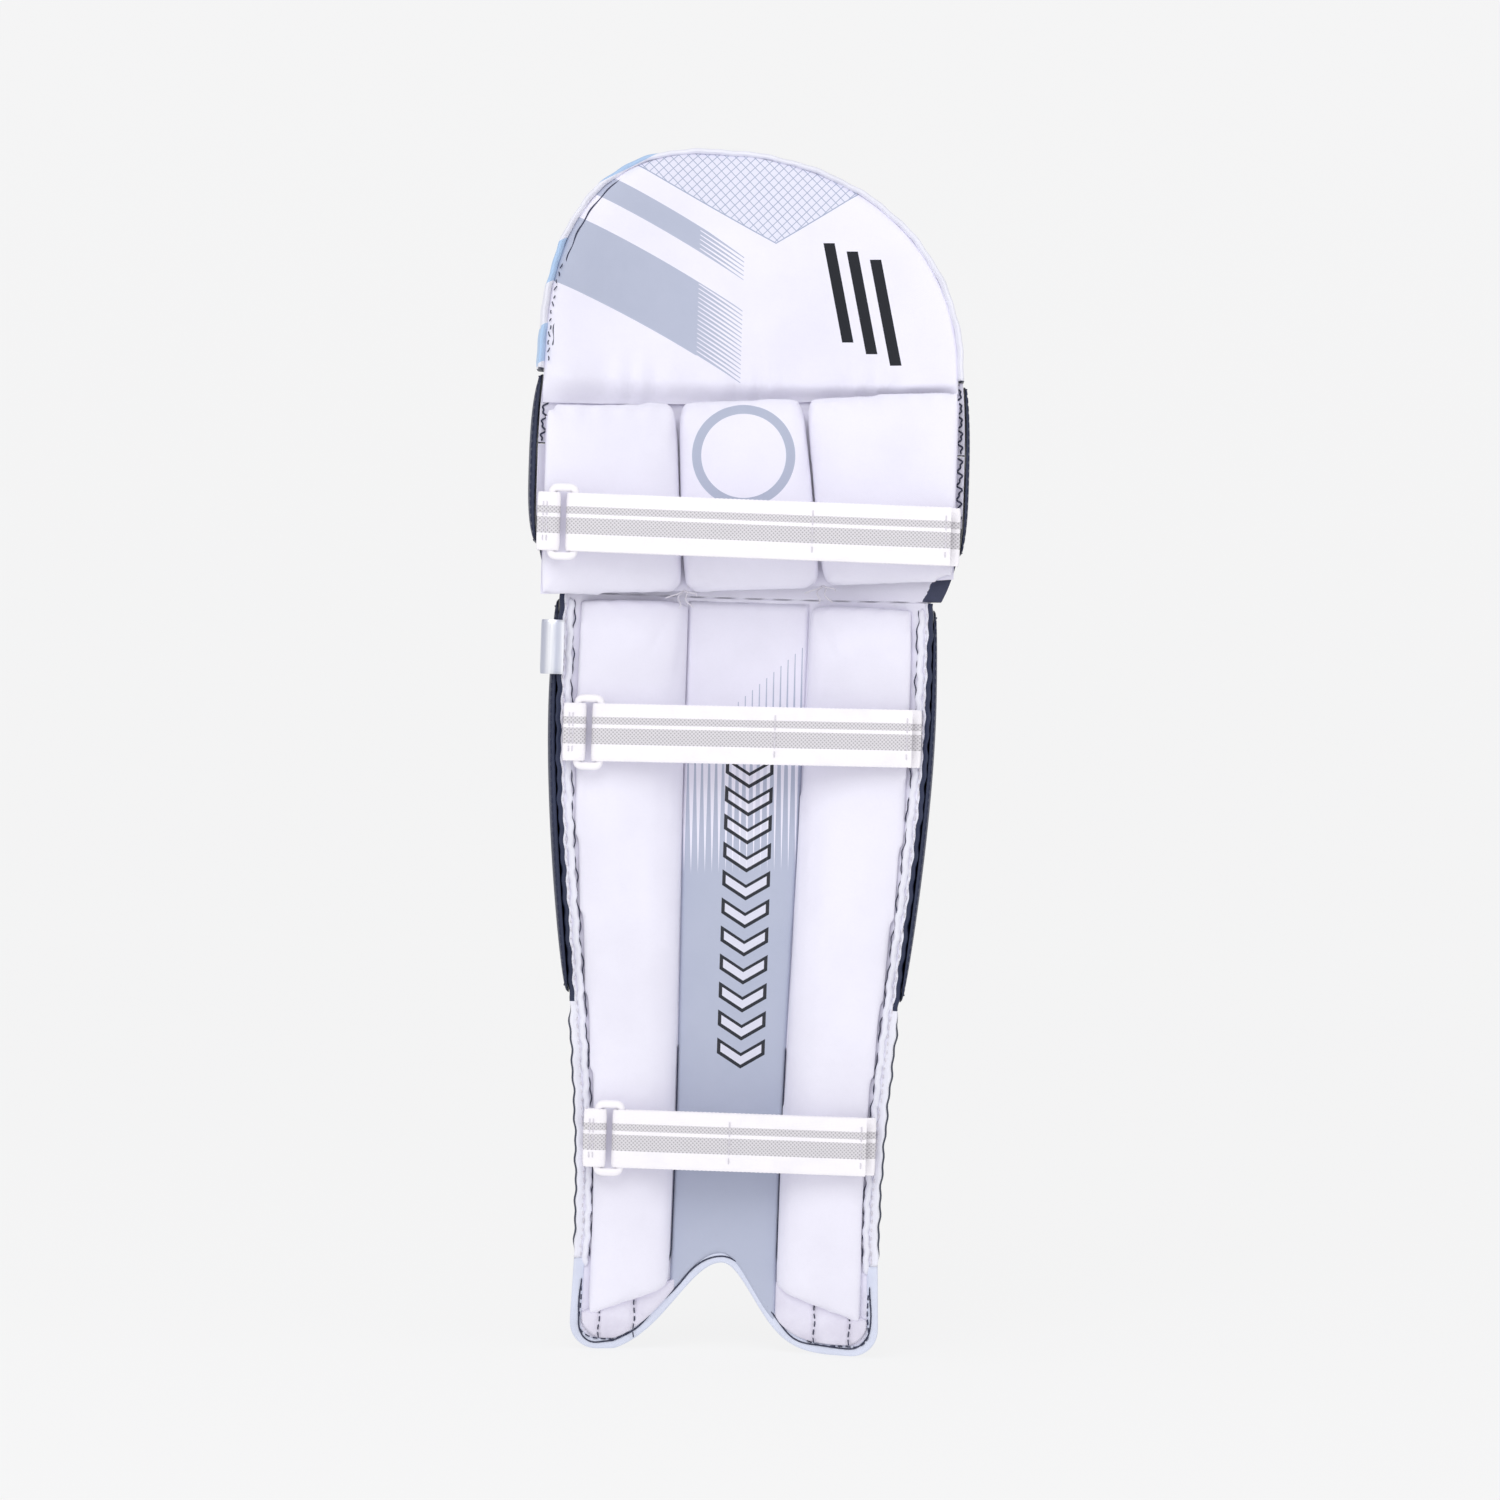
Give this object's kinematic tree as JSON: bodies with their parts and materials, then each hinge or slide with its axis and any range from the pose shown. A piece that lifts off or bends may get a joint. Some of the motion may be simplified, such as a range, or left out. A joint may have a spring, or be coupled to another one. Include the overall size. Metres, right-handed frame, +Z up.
{
  "type": "cricket leg pad",
  "caption": "Batting leg pad for the left leg with a ribbed shin, three knee rolls, a knee cradle, a rounded top section and three buckled webbing straps.",
  "frame": {"origin": "middle of the shin, on the face that bears on the leg, level with the underside of the toes", "axes": "+Z up the shin, +Y forward towards the ball, +X towards the wearer's right"},
  "size_m": [0.2672, 0.1167, 0.728],
  "materials": {
    "white_lining_cloth": "soft woven lining, matt",
    "foam": "closed-cell foam, matt",
    "board_foam": "high-density foam board, matt",
    "navy_face": "smooth coated synthetic leather, low sheen",
    "pale_blue_binding": "woven binding tape with dark thread",
    "cane": "split cane, satin",
    "printed_panel": "printed lining cloth, matt",
    "silver_tape": "metal-look folded tape",
    "white_webbing": "woven elastic with two grey bands",
    "white_plastic": "moulded nylon, soft gloss",
    "hook_pile": "hook tape",
    "loop_pile": "brushed loop tape"
  },
  "bodies": {
    "shin": {"shin_lining": "white_lining_cloth", "shin_board": "board_foam", "instep_binding": "pale_blue_binding", "outer_side_binding": "pale_blue_binding", "inner_side_binding": "pale_blue_binding", "shin_bolster_outer": "white_lining_cloth", "shin_bolster_inner": "white_lining_cloth", "toe_pad_outer": "white_lining_cloth", "toe_pad_inner": "white_lining_cloth", "centre_shin_panel": "printed_panel", "shin_rib_1": "navy_face", "shin_rib_2": "navy_face", "shin_rib_3": "navy_face", "shin_rib_4": "navy_face", "shin_rib_5": "navy_face", "shin_rib_6": "navy_face", "shin_rib_7": "navy_face", "rib_canes": "cane", "calf_keeper": "white_webbing", "calf_strap_band": "white_webbing", "calf_loop_patch": "loop_pile", "ankle_keeper": "white_webbing", "ankle_strap_band": "white_webbing", "ankle_loop_patch": "loop_pile"},
    "outer_wing": {"outer_shin_wing": "navy_face"},
    "inner_wing": {"inner_shin_wing": "navy_face"},
    "tab": {"side_tab": "silver_tape"},
    "lower_knee": {"knee_web_lower": "navy_face", "knee_roll_lower": "navy_face"},
    "middle_knee": {"knee_web_middle": "navy_face", "knee_roll_middle": "navy_face", "cradle_panel": "white_lining_cloth", "cradle_cell_outer": "white_lining_cloth", "cradle_cell_middle": "white_lining_cloth", "cradle_cell_inner": "white_lining_cloth", "outer_knee_wing": "navy_face", "inner_knee_wing": "navy_face", "knee_keeper": "white_webbing", "knee_strap_band": "white_webbing", "knee_loop_patch": "loop_pile"},
    "upper_knee": {"knee_web_upper": "navy_face", "knee_roll_upper": "navy_face"},
    "top_section": {"top_lining": "white_lining_cloth", "top_foam": "foam", "top_face": "navy_face", "top_binding": "pale_blue_binding"},
    "knee_clasp": {"knee_buckle": "white_plastic", "knee_strap_fold": "white_webbing"},
    "knee_tongue": {"knee_strap_tongue": "white_webbing", "knee_hook_patch": "hook_pile"},
    "calf_clasp": {"calf_buckle": "white_plastic", "calf_strap_fold": "white_webbing"},
    "calf_tongue": {"calf_strap_tongue": "white_webbing", "calf_hook_patch": "hook_pile"},
    "ankle_clasp": {"ankle_buckle": "white_plastic", "ankle_strap_fold": "white_webbing"},
    "ankle_tongue": {"ankle_strap_tongue": "white_webbing", "ankle_hook_patch": "hook_pile"}
  },
  "joints": [
    {"name": "knee_flex_lower", "type": "hinge", "parent": "shin", "child": "lower_knee", "pos_m": [0, -0.05, 0.456], "axis": [1, 0, 0], "range_deg": [0, 9]},
    {"name": "knee_flex_middle", "type": "hinge", "parent": "lower_knee", "child": "middle_knee", "pos_m": [0, -0.05, 0.5], "axis": [1, 0, 0], "range_deg": [0, 9]},
    {"name": "knee_flex_upper", "type": "hinge", "parent": "middle_knee", "child": "upper_knee", "pos_m": [0, -0.05, 0.544], "axis": [1, 0, 0], "range_deg": [0, 9]},
    {"name": "knee_flex_top", "type": "hinge", "parent": "upper_knee", "child": "top_section", "pos_m": [0, -0.05, 0.588], "axis": [1, 0, 0], "range_deg": [0, 9]},
    {"name": "outer_wing_splay", "type": "hinge", "parent": "shin", "child": "outer_wing", "pos_m": [-0.10353, 0.002, 0.215], "axis": [0.0546, 0, -0.9985], "range_deg": [0, 30], "stiffness_Nm_per_rad": 0.05},
    {"name": "inner_wing_splay", "type": "hinge", "parent": "shin", "child": "inner_wing", "pos_m": [0.10353, 0.002, 0.215], "axis": [0.0546, 0, 0.9985], "range_deg": [0, 30], "stiffness_Nm_per_rad": 0.05},
    {"name": "tab_flap", "type": "hinge", "parent": "shin", "child": "tab", "pos_m": [-0.1085, -0.0411, 0.4225], "axis": [0, 0, 1], "range_deg": [0, 60], "stiffness_Nm_per_rad": 0.004},
    {"name": "knee_buckle_tilt", "type": "hinge", "parent": "middle_knee", "child": "knee_clasp", "pos_m": [-0.1183, -0.06613, 0.4955], "axis": [0, 0, -1], "range_deg": [0, 25]},
    {"name": "knee_tongue_peel", "type": "hinge", "parent": "knee_clasp", "child": "knee_tongue", "pos_m": [-0.0971, -0.07018, 0.4955], "axis": [0, 0, -1], "range_deg": [0, 150]},
    {"name": "calf_buckle_tilt", "type": "hinge", "parent": "shin", "child": "calf_clasp", "pos_m": [-0.0999, -0.04154, 0.373], "axis": [0, 0, -1], "range_deg": [0, 25]},
    {"name": "calf_tongue_peel", "type": "hinge", "parent": "calf_clasp", "child": "calf_tongue", "pos_m": [-0.0787, -0.04559, 0.373], "axis": [0, 0, -1], "range_deg": [0, 150]},
    {"name": "ankle_buckle_tilt", "type": "hinge", "parent": "shin", "child": "ankle_clasp", "pos_m": [-0.08025, -0.03816, 0.129], "axis": [0, 0, -1], "range_deg": [0, 25]},
    {"name": "ankle_tongue_peel", "type": "hinge", "parent": "ankle_clasp", "child": "ankle_tongue", "pos_m": [-0.05905, -0.04221, 0.129], "axis": [0, 0, -1], "range_deg": [0, 150]}
  ],
  "couplings": [
    {"joint": "knee_flex_middle", "follows": "knee_flex_lower", "ratio": 1},
    {"joint": "knee_flex_upper", "follows": "knee_flex_lower", "ratio": 1},
    {"joint": "knee_flex_top", "follows": "knee_flex_lower", "ratio": 1}
  ]
}
